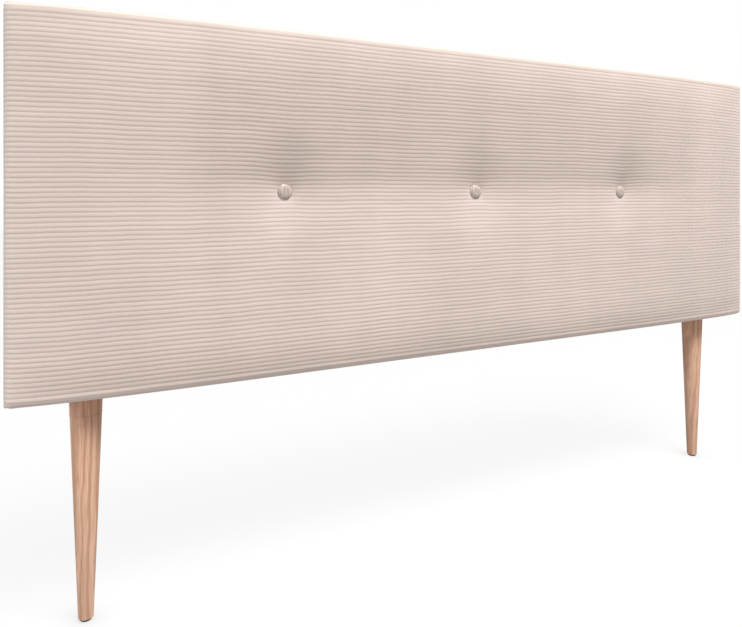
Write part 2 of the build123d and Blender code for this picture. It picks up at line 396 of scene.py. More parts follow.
def drawn_in(x, y, z):
    """The taut cloth draws the panel's front corners in, and its long top edge swells a little."""
    at_end = np.clip(1 - (half_width - np.abs(x)) / end_length, 0, 1)
    at_corner = np.clip(1 - (half_width - np.abs(x)) / corner_length, 0, 1)
    up = (z - middle_height) / half_height
    at_front = 1 - eased((y - draw_fades_from) / draw_fades_over)
    top = top_rise - (top_end_draw * at_end ** 2.1 + top_corner_draw * at_corner ** 1.5) * at_front
    bottom = bottom_rise + bottom_end_draw * at_end ** 2.4 + bottom_corner_draw * at_corner ** 1.5
    return z + np.where(up > 0, top, bottom * at_front) * np.abs(up) ** 1.6


def wavered(x, z):
    """Small wander of the ribs, as no cloth is drawn quite straight over its padding."""
    wander = 0
    for share, rate_x, rate_z, start in wander_waves:
        wander = wander + share * np.sin(rate_x * x + rate_z * z + start)
    up = np.clip(np.abs(z - middle_height) / half_height, 0, 1)
    return z + rib_wander * wander * (1 - up ** 6)


def with_round_corners(x, z):
    """Turn the panel's square outline corners into the round ones of the padding."""
    flat_x, flat_z = half_width - corner_radius, half_height - corner_radius
    in_x, in_z = np.abs(x) - flat_x, np.abs(z - middle_height) - flat_z
    both = (in_x > 0) & (in_z > 0)
    scale = np.where(both, np.maximum(in_x, in_z) / (np.hypot(in_x, in_z) + 1e-12), 1.0)
    new_x = np.sign(x) * (flat_x + in_x * scale)
    new_z = middle_height + np.sign(z - middle_height) * (flat_z + in_z * scale)
    return np.where(both, new_x, x), np.where(both, new_z, z)


def over_arris(length, half_size):
    """Place of a cloth length from the middle, and how far it has turned over the arris."""
    flat = half_size - arris_radius
    turn = np.clip((np.abs(length) - flat) / arris_radius, 0, math.pi / 2)
    place = np.sign(length) * (np.minimum(np.abs(length), flat) + arris_radius * np.sin(turn))
    return place, turn


def front_point(along, up):
    """Point of the padding's front for cloth lengths from its middle, arrises included."""
    x, turn_x = over_arris(along, half_width)
    z, turn_z = over_arris(up, half_height)
    x, z = dragged(x, wavered(x, z + middle_height))
    turn = np.cos(turn_x) * np.cos(turn_z)
    return x, flat_face + arris_radius * (1 - turn) - face_relief(x, z) * turn, z


def flap_point(length):
    """How far back and how far in a flap of cloth has come, past the arris and round the back."""
    straight = panel_back - fold_radius - side_start
    turn = np.clip((length - straight) / fold_radius, 0, math.pi / 2)
    beyond = np.maximum(length - straight - fold_radius * math.pi / 2, 0)
    y = side_start + np.minimum(length, straight) + fold_radius * np.sin(turn)
    return y, fold_radius * (1 - np.cos(turn)) + beyond


def past_edge(along, up):
    """Cloth length past the front's edge, below zero on the front itself."""
    return np.maximum(np.abs(along) - edge_along, np.abs(up) - edge_up)


# Grid of the cover

def column_lengths():
    """Cloth lengths of the grid's columns on the front, closer together at the buttons."""
    flat = half_width - arris_radius
    columns = [0.0]
    while columns[-1] < flat - last_column_room:
        near = min(abs(columns[-1] - place) for place in button_places)
        step = closest_columns
        for start, over, more in wider_columns:
            step = step + more * eased((near - start) / over)
        columns.append(columns[-1] + float(step))
    half = [length * flat / columns[-1] for length in columns]
    half += [flat + arc_length * k / columns_on_arris for k in range(1, columns_on_arris + 1)]
    return np.array([-length for length in reversed(half[1:])] + half)


class CrossGrid:
    """Grid of the cover like a cross laid flat: the front with a flap past each edge.

    Neighbouring flaps share the vertices of the seam between them, so the cross closes
    into a tray. A coarse grid has one row for each rib, a fine one has several."""

    def __init__(self, steps):
        self.steps = steps
        on_front = column_lengths()
        flap = np.arange(1, ribs_on_flap + 1) * rib_pitch
        self.along = np.concatenate([-(edge_along + flap)[::-1], on_front, edge_along + flap])
        self.first_column, self.last_column = ribs_on_flap, ribs_on_flap + len(on_front) - 1
        self.first_row = ribs_on_flap * steps
        self.last_row = self.first_row + ribs_on_front * steps
        self.front_rows = slice(self.first_row, self.last_row + 1)
        self.front_columns = slice(self.first_column, self.last_column + 1)
        self.rows, self.columns = self.last_row + self.first_row + 1, len(self.along)
        middle_row = (self.first_row + self.last_row) / 2
        self.up = (np.arange(self.rows) - middle_row) * rib_pitch / steps
        row = np.arange(self.rows)[:, None]
        column = np.arange(self.columns)[None, :]
        front_row = (row >= self.first_row) & (row <= self.last_row)
        front_column = (column >= self.first_column) & (column <= self.last_column)
        at_seam = ((row == self.first_row) | (row == self.last_row)) & ~front_column
        self.own = (front_row | front_column) & ~at_seam
        self.number = np.full((self.rows, self.columns), -1)
        self.number[self.own] = np.arange(self.own.sum())
        for k in range(1, ribs_on_flap + 1):
            for edge_row, way in ((self.first_row, -1), (self.last_row, 1)):
                for edge_column, side in ((self.first_column, -1), (self.last_column, 1)):
                    shared = self.number[edge_row + way * k * steps, edge_column]
                    self.number[edge_row, edge_column + side * k] = shared

    def lengths(self):
        """Cloth lengths along and up of the grid's crossings, each as rows by columns."""
        return np.meshgrid(self.along, self.up)

    def places(self):
        """Points of the grid on the padding, as rows by columns by xyz."""
        along, up = self.lengths()
        x, y, z = front_point(
            np.clip(along, -edge_along, edge_along), np.clip(up, -edge_up, edge_up)
        )
        past = past_edge(along, up)
        flap_y, inset = flap_point(np.maximum(past, 0))
        y = np.where(past > 1e-9, flap_y, y)
        x = x * (half_width - inset) / half_width
        z = middle_height + (z - middle_height) * (half_height - inset) / half_height
        x, z = with_round_corners(x, drawn_in(x, y, z))
        return np.stack([x, y, z], axis=-1)

    def faces(self):
        """Faces with the cloth lengths of their corners."""
        number, along, up = self.number, self.along, self.up
        faces, cloth = [], []
        for r in range(self.rows - 1):
            for c in range(self.columns - 1):
                ring = (number[r, c], number[r, c + 1], number[r + 1, c + 1], number[r + 1, c])
                if min(ring) < 0:
                    continue
                off_end = c < self.first_column or c >= self.last_column
                at_seam = off_end and r in (self.first_row, self.last_row - 1)
                if at_seam and self.steps > 1:
                    continue
                faces.append([int(corner) for corner in ring])
                cloth.append([
                    (along[c], up[r]), (along[c + 1], up[r]),
                    (along[c + 1], up[r + 1]), (along[c], up[r + 1]),
                ])
        if self.steps > 1:
            self.add_seam_faces(faces, cloth)
        return faces, cloth

    def add_seam_faces(self, faces, cloth):
        """Faces of the end flaps along their seams, where the neighbour's rows are closer."""
        number, along, up, steps = self.number, self.along, self.up, self.steps
        for side, column in ((-1, self.first_column), (1, self.last_column)):
            for end, row in ((-1, self.first_row), (1, self.last_row)):
                for k in range(ribs_on_flap):
                    near, far = column + side * k, column + side * (k + 1)
                    ring = [(number[row - end, far], along[far], up[row - end])]
                    ring.append((number[row - end, near], along[near], up[row - end]))
                    for j in range(steps + 1):
                        place = along[near] + (along[far] - along[near]) * j / steps
                        ring.append((number[row + end * (k * steps + j), column], place, up[row]))
                    if side * end < 0:
                        ring.reverse()
                    faces.append([int(corner[0]) for corner in ring])
                    cloth.append([(corner[1], corner[2]) for corner in ring])


def normals_of(points, faces):
    """Smooth outward normals of a grid's points."""
    mesh = bpy.data.meshes.new("normals")
    mesh.from_pydata([tuple(point) for point in points], [], faces)
    mesh.update()
    normals = np.zeros(len(points) * 3, np.float32)
    mesh.vertex_normals.foreach_get("vector", normals)
    bpy.data.meshes.remove(mesh)
    normals = normals.reshape(-1, 3).astype(float)
    front = np.argmin(points[:, 1])
    return -normals if normals[front, 1] > 0 else normals


def rib_profile(phase):
    """Height of a rib over its width: narrow grooves and a full round crest."""
    from_crest = np.abs(phase - np.floor(phase) - 0.5) * 2
    return 1 - from_crest ** 2.6


def surface_of(grid, shift):
    """Points of a grid moved by a shift of its front rows, with lengths, normals and faces."""
    places = grid.places()
    places[grid.front_rows] += shift
    faces, cloth = grid.faces()
    points = places[grid.own]
    along, up = (length[grid.own] for length in grid.lengths())
    return points, along, up, normals_of(points, faces), faces, cloth


def rib_lift(points, along, up):
    """How far the ribs let the surface stand out, counted from their full crests."""
    past = past_edge(along, up)
    height = rib_height + (hem_rib_height - rib_height) * eased((past - hem_ribs_from) / hem_ribs_over)
    from_press = np.abs(up) - edge_up + arris_press_before_edge
    height *= 1 - arris_press * np.exp(-(from_press / arris_press_width) ** 2)
    uneven = np.sin(2.4 * (up / rib_pitch + 0.5) + 11 * along)
    height *= 1 + rib_unevenness * uneven * np.cos(19 * along)
    from_button = from_buttons(points[:, 0], points[:, 2]) - button_press_from
    height *= ribs_left_at_button + (1 - ribs_left_at_button) * eased(from_button / button_press_over)
    for place in leg_places.values():
        from_leg = np.hypot(points[:, 0] - place, points[:, 1] - leg_axis_y)
        over_leg = (up < -edge_up) & (from_leg < leg_top_radius + room_round_leg) & (past < flap_at_leg)
        height = np.where(over_leg, rib_height_at_leg, height)
    at_seam = (np.abs(along) > edge_along - 1e-9) & (np.abs(up) > edge_up - 1e-9)
    return np.where(at_seam, -seam_sink, (rib_profile(up / rib_pitch + 0.5) - 1) * height)


def make_cover(relaxed, coarse):
    """Corduroy cover: ribbed outside, plain inside, and closed along the hem's cut edge."""
    fine = CrossGrid(steps_per_rib)
    settled = relaxed[coarse.front_rows]
    rows = np.linspace(0, 1, ribs_on_front * steps_per_rib + 1)
    points, along, up, outward, faces, cloth = surface_of(fine, along_curve(settled, rows))
    points = points + outward * rib_lift(points, along, up)[:, None]

    inner, inner_along, inner_up, inner_out, inner_faces, inner_cloth = surface_of(coarse, settled)
    at_frame = (inner_up < -edge_up) | (past_edge(inner_along, inner_up) > frame_hem_from)
    inner = inner - inner_out * np.where(at_frame, cover_inside_at_frame, cover_inside)[:, None]

    first = len(points)
    all_faces = [ring[::-1] for ring in faces]
    all_cloth = [ring[::-1] for ring in cloth]
    all_faces += [[corner + first for corner in ring] for ring in inner_faces]
    all_cloth += inner_cloth
    wall, wall_cloth = hem_wall(fine, coarse, first)
    all_faces += wall
    all_cloth += wall_cloth
    cover = object_of("corduroy_cover", np.concatenate([points, inner]), all_faces)
    lay_cloth_map(cover, all_cloth)
    face_outwards(cover)
    # Rubbed pile and painted highlight: the cloth is lightened along the ridge of each arris
    from_arris = past_edge(along, up) + arc_length / 2
    give_value(cover, "wear_and_highlight", np.exp(-(from_arris / wear_and_highlight_width) ** 2))
    # Painted shade and light: the cloth's colour is darkened where its surface faces down and
    # lightened, less, where it faces up
    shade_tilt = most_shade_tilt * np.tanh(outward[:, 2] / most_shade_tilt)
    give_value(cover, "painted_tilt_shade", np.where(shade_tilt > 0, shade_tilt_up_share * shade_tilt, shade_tilt))
    return cover


def give_value(piece, name, values):
    """Store a value for each of the piece's first points, and none for the rest."""
    every = np.zeros(len(piece.data.vertices), np.float32)
    every[:len(values)] = values
    piece.data.attributes.new(name, "FLOAT", "POINT").data.foreach_set("value", every)


def hem_wall(fine, coarse, first):
    """Cut edge of the hem: faces from the outer surface's last ribs to the inner surface."""
    faces, cloth = [], []
    for fine_row, coarse_row, end in ((0, 0, -1), (fine.rows - 1, coarse.rows - 1, 1)):
        for c in range(fine.first_column, fine.last_column):
            ring = [
                fine.number[fine_row, c], fine.number[fine_row, c + 1],
                first + coarse.number[coarse_row, c + 1], first + coarse.number[coarse_row, c],
            ]
            faces.append([int(corner) for corner in (ring if end < 0 else ring[::-1])])
            place = [(fine.along[c], fine.up[fine_row]), (fine.along[c + 1], fine.up[fine_row])]
            place += place[::-1]
            cloth.append(place if end < 0 else place[::-1])
    for column, side in ((0, -1), (fine.columns - 1, 1)):
        for rib in range(ribs_on_front):
            rows = [fine.first_row + rib * fine.steps + j for j in range(fine.steps + 1)]
            ring = [fine.number[row, column] for row in rows]
            place = [(fine.along[column], fine.up[row]) for row in rows]
            inner_row = coarse.first_row + rib
            ring += [first + coarse.number[row, column] for row in (inner_row + 1, inner_row)]
            place += [place[-1], place[0]]
            faces.append([int(corner) for corner in (ring if side > 0 else ring[::-1])])
            cloth.append(place if side > 0 else place[::-1])
    return faces, cloth


def lay_cloth_map(piece, cloth):
    """UV map in ribs: its V counts the ribs, and its U is as long along them."""
    flat = np.array([corner for ring in cloth for corner in ring]) / rib_pitch
    flat[:, 1] += ribs_on_front / 2
    layer = piece.data.uv_layers.new(name="cloth")
    layer.data.foreach_set("uv", flat.astype(np.float32).ravel())


def face_outwards(piece):
    """Turn all faces outwards by the way the frontmost one looks."""
    work = bmesh.new()
    work.from_mesh(piece.data)
    bmesh.ops.recalc_face_normals(work, faces=work.faces)
    frontmost = min(work.faces, key=lambda face: face.calc_center_median().y)
    if frontmost.normal.y > 0:
        bmesh.ops.reverse_faces(work, faces=work.faces)
    work.to_mesh(piece.data)
    work.free()


def settle_cover(grid):
    """How far the taut cloth moves when it swells between its edges and its buttons."""
    start = grid.places()[grid.front_rows, grid.front_columns]
    high, wide = start.shape[:2]
    points = start.reshape(-1, 3)
    cloth = object_of("cloth_to_settle", points, grid_faces(high, wide))
    edge = np.ones((high, wide), bool)
    edge[held_at_edge:-held_at_edge, held_at_edge:-held_at_edge] = False
    near_button = from_buttons(points[:, 0], points[:, 2]) < button_radius + held_round_button
    held = edge.ravel() | near_button
    pins = cloth.vertex_groups.new(name="held")
    pins.add(np.nonzero(held)[0].tolist(), 1.0, "REPLACE")
    stretch = cloth.modifiers.new("settle", "CLOTH")
    for name, value in cloth_settings.items():
        setattr(stretch.settings, name, value)
    stretch.settings.effector_weights.gravity = 0
    stretch.point_cache.frame_start = 1
    stretch.point_cache.frame_end = settling_frames
    for frame_number in range(1, settling_frames + 1):
        bpy.context.scene.frame_set(frame_number)
    apply_modifiers(cloth)
    ended = np.zeros(len(points) * 3, np.float32)
    cloth.data.vertices.foreach_get("co", ended)
    bpy.data.objects.remove(cloth)
    bpy.context.scene.frame_set(1)
    move = ended.reshape(-1, 3) - points
    length = np.linalg.norm(move, axis=1, keepdims=True) + 1e-9
    move = move / length * most_settled * np.tanh(length / most_settled)
    move = move.reshape(high, wide, 3)
    loose = ~held.reshape(high, wide)[1:-1, 1:-1, None]
    for _ in range(smoothing_passes):
        middle = move[1:-1, 1:-1]
        around = move[:-2, 1:-1] + move[2:, 1:-1] + move[1:-1, :-2] + move[1:-1, 2:]
        move[1:-1, 1:-1] = np.where(loose, middle / 2 + around / 8, middle)
    settled = np.zeros((grid.rows, grid.columns, 3))
    settled[grid.front_rows, grid.front_columns] = move
    return settled


coarse = CrossGrid(1)
relaxed = settle_cover(coarse)
cover = make_cover(relaxed, coarse)


# Covered buttons

def button_outline():
    """Half outlines of a button's cloth, from its crest to the rim and back inside."""
    outside = []
    for k in range(dome_rings + 1):
        reach = k / dome_rings
        past_flat = max(0.0, (reach - button_flat_share) / (1 - button_flat_share))
        fall = (button_crest - button_shoulder) * past_flat ** 2.6
        outside.append((button_dome * reach, button_crest - fall))
    bulge, tuck = button_dome + button_bulge, button_radius - button_tuck
    outside += [(bulge, button_rim * 0.8), (bulge, button_rim * 0.3), (button_dome - button_turn, 0.0)]
    inside = [
        (tuck, 0.0), (tuck, button_tuck_thickness),
        (button_radius - button_pocket, button_pocket_height), (button_dome * 0.85, button_wall),
        (button_dome * 0.6, button_crest - button_wall), (0.0, button_crest - button_crest_wall),
    ]
    return outside, inside


def make_button():
    """Cloth cap of a button, ribs upright, tucked in round its rim."""
    outside, inside = button_outline()
    around = button_sides
    points, faces, cloth, last_ring = [], [], [], []
    for place, (reach, height) in enumerate(outside + inside):
        ring = []
        for k in range(around if reach else 1):
            angle = 2 * math.pi * k / around
            x, z = reach * math.cos(angle), reach * math.sin(angle)
            lift, side = 0.0, 0.0
            if place < len(outside):
                rib = float(rib_profile(np.array(x / button_rib_pitch + 0.5))) - 1
                lift = button_rib_height * rib
                side = min(1.0, max(0.0, (reach / button_dome - side_from) / side_over))
            x += math.cos(angle) * lift * side
            z += math.sin(angle) * lift * side
            points.append((x, tuft_floor - height - lift * (1 - side), z))
            cloth.append((x / button_rib_pitch + 0.5, z / button_rib_pitch))
            ring.append(len(points) - 1)
        for k in range(around if last_ring else 0):
            a, b = last_ring[k % len(last_ring)], last_ring[(k + 1) % len(last_ring)]
            c, d = ring[(k + 1) % len(ring)], ring[k % len(ring)]
            faces.append(list(dict.fromkeys((a, b, c, d))))
        last_ring = ring
    button = object_of("left_button_cap", points, faces)
    face_outwards(button)
    corners = np.zeros(len(button.data.loops), int)
    button.data.loops.foreach_get("vertex_index", corners)
    flat = np.array(cloth)[corners][:, ::-1]
    button.data.uv_layers.new(name="cloth").data.foreach_set("uv", flat.astype(np.float32).ravel())
    button.data.transform(Matrix.Translation((button_places[0], 0, button_height)))
    return button


left_button = make_button()
middle_button = copy_of(left_button, "middle_button_cap", button_places[1] - button_places[0])
right_button = copy_of(left_button, "right_button_cap", button_places[2] - button_places[0])


# Turned legs and their glides

def start_turning(name, place, low, height, radius, sides):
    """Upright cylinder on a leg's axis, left in edit mode."""
    bpy.ops.mesh.primitive_cylinder_add(
        vertices=sides, radius=radius, depth=height, location=(place, leg_axis_y, low + height / 2),
    )
    piece = bpy.context.object
    piece.name = piece.data.name = name
    place_in_mesh(piece)
    bpy.ops.object.mode_set(mode="EDIT")
    return piece


def move_middle(margin, distance):
    """Inset the selected face by a margin and push its middle up or down."""
    bpy.ops.mesh.inset(thickness=margin)
    bpy.ops.mesh.extrude_region_move(TRANSFORM_OT_translate={"value": (0, 0, distance)})


def end_turning():
    """Leave edit mode, with round sides smooth and sharp edges crisp."""
    bpy.ops.object.mode_set(mode="OBJECT")
    bpy.ops.object.shade_smooth_by_angle(angle=math.radians(35))


def make_leg(name, place):
    """Straight taper, drilled at the top for the hanger bolt and at the foot for the glide."""
    leg = start_turning(
        name, place, glide_height, panel_bottom - glide_height, leg_top_radius, sides=64,
    )
    select_faces(leg, lambda middle, normal: normal.z < -0.9)
    share = leg_foot_radius / leg_top_radius
    bpy.ops.transform.resize(
        value=(share, share, 1), center_override=(place, leg_axis_y, glide_height),
    )
    select_edges(leg, lambda point: point.z < glide_height + hair)
    bpy.ops.mesh.bevel(offset=leg_foot_round, segments=3, profile=0.6)
    select_edges(leg, lambda point: point.z > panel_bottom - hair)
    bpy.ops.mesh.bevel(offset=leg_top_round, segments=2)
    select_faces(leg, lambda middle, normal: normal.z > 0.9 and middle.z > panel_bottom - hair)
    move_middle(leg_top_radius - leg_top_round - bolt_hole_radius, -bolt_hole_depth)
    select_faces(leg, lambda middle, normal: normal.z < -0.9 and middle.z < glide_height + hair)
    move_middle(leg_foot_radius - leg_foot_round - nail_hole_radius, nail_hole_depth)
    end_turning()
    return leg


def make_glide(name, place):
    """Moulded disc under a foot, with the nail that holds it."""
    glide = start_turning(name, place, 0, glide_height, glide_radius, sides=48)
    select_edges(glide, lambda point: point.z < hair)
    bpy.ops.mesh.bevel(offset=glide_round, segments=3)
    select_faces(glide, lambda middle, normal: normal.z > 0.9)
    move_middle(glide_radius - nail_radius, nail_length)
    end_turning()
    return glide


leg_spacing = leg_places["right"] - leg_places["left"]
left_leg = make_leg("left_leg_turned", leg_places["left"])
right_leg = copy_of(left_leg, "right_leg_turned", leg_spacing)
left_glide = make_glide("left_glide", leg_places["left"])
right_glide = copy_of(left_glide, "right_glide", leg_spacing)


# Dust cover and staples on the back

def staple_places():
    """Middle and direction of each staple round the dust cover."""
    left, right = dust_low.x + staple_inset, dust_high.x - staple_inset
    low, high = dust_low.z + staple_inset, dust_high.z - staple_inset
    across = round((right - left) / staple_pitch)
    upright = round((high - low) / staple_pitch)
    places = []
    for k in range(across):
        x = left + (right - left) * (k + 0.5) / across
        places += [(x, low, "along"), (x, high, "along")]
    for k in range(upright):
        z = low + (high - low) * (k + 0.5) / upright
        places += [(left, z, "up"), (right, z, "up")]
    return places


def make_dust_cover():
    """Black non-woven sheet, stretched between its staples and turned in at its edges."""
    columns, rows = 224, 80
    x, z = np.meshgrid(
        np.linspace(dust_low.x, dust_high.x, columns + 1),
        np.linspace(dust_low.z, dust_high.z, rows + 1),
    )
    from_side = np.minimum(x - dust_low.x, dust_high.x - x)
    from_edge = np.minimum(from_side, np.minimum(z - dust_low.z, dust_high.z - z))
    from_staple = np.full(x.shape, 1.0)
    for place_x, place_z, _ in staple_places():
        from_staple = np.minimum(from_staple, np.hypot(x - place_x, z - place_z))
    ripple = ripple_height * (1 - np.exp(-(from_staple / ripple_width) ** 2))
    ripple = ripple * np.exp(-from_edge / ripple_length)
    slack = slack_height * eased(from_edge / slack_from) * np.sin(5.1 * x + 1.3) * np.sin(9.0 * z)
    turned_in = turn_in_rise * (from_edge < dust_turn_in)
    y = panel_back + dust_thickness + ripple + np.abs(slack) + turned_in
    points = np.stack([x, y, z], axis=-1).reshape(-1, 3)
    faces = [[a, d, c, b] for a, b, c, d in grid_faces(rows + 1, columns + 1)]
    sheet = object_of("dust_cover_sheet", points, faces)
    thickness = sheet.modifiers.new("thickness", "SOLIDIFY")
    thickness.thickness = dust_thickness
    thickness.offset = -1
    apply_modifiers(sheet)
    return sheet


def make_staples():
    """Crown and two legs of every staple, driven through the dust cover into the frame."""
    bpy.ops.mesh.primitive_cube_add(size=1, location=(0, 0, 0))
    staple = bpy.context.object
    staple.name = staple.data.name = "back_staples"
    staple.scale = (staple_width, staple_wire_thickness, staple_wire_width)
    place_in_mesh(staple)
    bpy.ops.object.mode_set(mode="EDIT")
    for cut in (-staple_half_span, staple_half_span):
        bpy.ops.mesh.select_all(action="SELECT")
        bpy.ops.mesh.bisect(plane_co=(cut, 0, 0), plane_no=(1, 0, 0))
    select_faces(
        staple, lambda middle, normal: normal.y < -0.9 and abs(middle.x) > staple_half_span,
    )
    bpy.ops.mesh.extrude_region_move(TRANSFORM_OT_translate={"value": (0, -staple_leg, 0)})
    select_edges(staple, lambda point: point.y > hair)
    bpy.ops.mesh.bevel(offset=staple_round, segments=1)
    bpy.ops.object.mode_set(mode="OBJECT")
    pattern = np.array([vertex.co for vertex in staple.data.vertices])
    rings = [list(polygon.vertices) for polygon in staple.data.polygons]
    points, faces = [], []
    for x, z, way in staple_places():
        turned = pattern if way == "along" else pattern[:, [2, 1, 0]] * (-1, 1, 1)
        first = len(points)
        points += list(turned + (x, panel_back + staple_rise, z))
        faces += [[corner + first for corner in ring] for ring in rings]
    bpy.data.objects.remove(staple)
    return object_of("back_staples", points, faces, smooth=False)


dust_sheet = make_dust_cover()
staples = make_staples()


# Materials

def new_material(name, inputs):
    """New material with the given inputs on its shader, its node tree and its shader."""
    material = bpy.data.materials.new(name)
    material.use_nodes = True
    tree = material.node_tree
    shader = tree.nodes["Principled BSDF"]
    for socket, value in inputs.items():
        shader.inputs[socket].default_value = value
    return material, tree, shader


def add_node(tree, kind, inputs=None, **settings):
    """Add a node; inputs gives a socket's value, or the socket that feeds it."""
    node = tree.nodes.new("ShaderNode" + kind)
    for name, value in settings.items():
        setattr(node, name, value)
    for name, value in (inputs or {}).items():
        if isinstance(value, bpy.types.NodeSocket):
            tree.links.new(value, node.inputs[name])
        else:
            node.inputs[name].default_value = value
    return node


def blend_colours(tree, share, first, second, way="MIX"):
    """Colour that goes from the first to the second as the share goes from 0 to 1."""
    node = add_node(tree, "Mix", data_type="RGBA", blend_type=way)
    for place, value in ((0, share), (6, first), (7, second)):
        socket = node.inputs[place]
        if isinstance(value, bpy.types.NodeSocket):
            tree.links.new(value, socket)
        elif isinstance(value, tuple):
            socket.default_value = (*value, 1)
        else:
            socket.default_value = value
    return node.outputs[2]


def colour_steps(tree, share, steps):
    """Colour ramp with the given places and colours, where one number stands for a grey."""
    node = add_node(tree, "ValToRGB", {"Fac": share})
    ramp = node.color_ramp
    while len(ramp.elements) > 1:
        ramp.elements.remove(ramp.elements[-1])
    ramp.elements[0].position = steps[0][0]
    for count, (position, colour) in enumerate(steps):
        element = ramp.elements.new(position) if count else ramp.elements[0]
        element.color = (*(colour if isinstance(colour, tuple) else (colour,) * 3), 1)
    return node.outputs["Color"]


def shaded(tree, colour, share, factor, steps):
    """Colour multiplied, as far as the share says, by a ramp over a factor."""
    return blend_colours(tree, share, colour, colour_steps(tree, factor, steps), "MULTIPLY")


def noise_on(tree, vector, stretch, detail, roughness=0.5, scale=1.0):
    """Noise on a vector that is stretched first, by one factor for each axis."""
    stretched = add_node(tree, "Mapping", {"Vector": vector, "Scale": stretch})
    return add_node(tree, "TexNoise", {
        "Vector": stretched.outputs[0], "Scale": scale, "Detail": detail, "Roughness": roughness,
    }).outputs[0]


def give_surface(tree, shader, colour, noise, rough, bump, depth):
    """Give a shader its colour, and a roughness and a fine relief that follow one noise."""
    tree.links.new(colour, shader.inputs["Base Color"])
    gloss = add_node(tree, "MapRange", {"Value": noise, "To Min": rough[0], "To Max": rough[1]})
    tree.links.new(gloss.outputs[0], shader.inputs["Roughness"])
    relief = add_node(tree, "Bump", {"Height": noise, "Strength": bump, "Distance": depth})
    tree.links.new(relief.outputs["Normal"], shader.inputs["Normal"])


# Colours across half a rib, from its groove to its crest, darker in the groove as painted shade
rib_colours_with_groove_shade = (
    (0.0, (0.602, 0.494, 0.437)), (0.14, (0.656, 0.543, 0.484)),
    (0.30, (0.704, 0.586, 0.526)), (0.5, (0.722, 0.603, 0.543)),
)


def corduroy(name, painted_shade_factor):
    """Broad-ribbed pile cloth: painted shade in the grooves and by the cloth's tilt, tufts of pile
    across each rib, soft nap marks.
    """
    material, tree, shader = new_material(name, {
        "Roughness": 0.92, "Sheen Weight": 0.22, "Sheen Roughness": 0.45, "Specular IOR Level": 0.15,
    })
    cloth = add_node(tree, "UVMap", uv_map="cloth").outputs["UV"]
    in_room = add_node(tree, "TexCoord").outputs["Object"]
    pile = noise_on(tree, cloth, (5.5, 2.0, 1), 3.0, 0.6)
    streaks = noise_on(tree, cloth, (0.05, 0.6, 1), 2.0)
    nap_marks = noise_on(tree, in_room, (1, 1, 1), 3.0, 0.45, scale=3.2)
    brush_strokes = noise_on(tree, in_room, (13, 1, 1.6), 2.0)

    across = add_node(tree, "SeparateXYZ", {"Vector": cloth}).outputs["Y"]
    phase = add_node(tree, "Math", {0: across}, operation="FRACT").outputs[0]
    toned = [(place, tuple(painted_shade_factor * part for part in parts)) for place, parts in rib_colours_with_groove_shade]
    toned += [(1 - place, parts) for place, parts in toned[-2::-1]]
    colour = colour_steps(tree, phase, toned)
    colour = shaded(tree, colour, 0.8, pile, [(0.3, 0.935), (0.7, 1.035)])
    colour = shaded(tree, colour, 0.9, streaks, [(0.3, 0.955), (0.7, 1.03)])
    colour = shaded(tree, colour, 0.8, nap_marks, [(0.32, (0.945, 0.947, 0.945)), (0.68, 1.03)])
    colour = shaded(tree, colour, 0.8, brush_strokes, [(0.35, (0.975, 0.976, 0.975)), (0.65, 1.02)])
    # Painted shade by tilt: darker where the cloth faces down, a little lighter where it faces up
    painted_tilt_shade = add_node(tree, "Attribute", attribute_name="painted_tilt_shade").outputs["Fac"]
    shade_tilt = add_node(tree, "MapRange", {"Value": painted_tilt_shade, "From Min": -most_shade_tilt, "From Max": most_shade_tilt})
    colour = shaded(tree, colour, 1.0, shade_tilt.outputs[0], [
        (0.0, (0.905, 0.894, 0.880)), (0.5, 1.0), (1.0, 1.10),
    ])
    # Lighter along the arrises: rubbed pile and painted highlight
    wear_and_highlight = add_node(tree, "Attribute", attribute_name="wear_and_highlight").outputs["Fac"]
    rubbed_and_lit = add_node(tree, "Math", {0: wear_and_highlight, 1: 0.35}, operation="MULTIPLY").outputs[0]
    colour = blend_colours(tree, rubbed_and_lit, colour, (0.84, 0.74, 0.67))
    give_surface(tree, shader, colour, pile, (0.84, 1.0), 0.3, 0.0005)
    return material


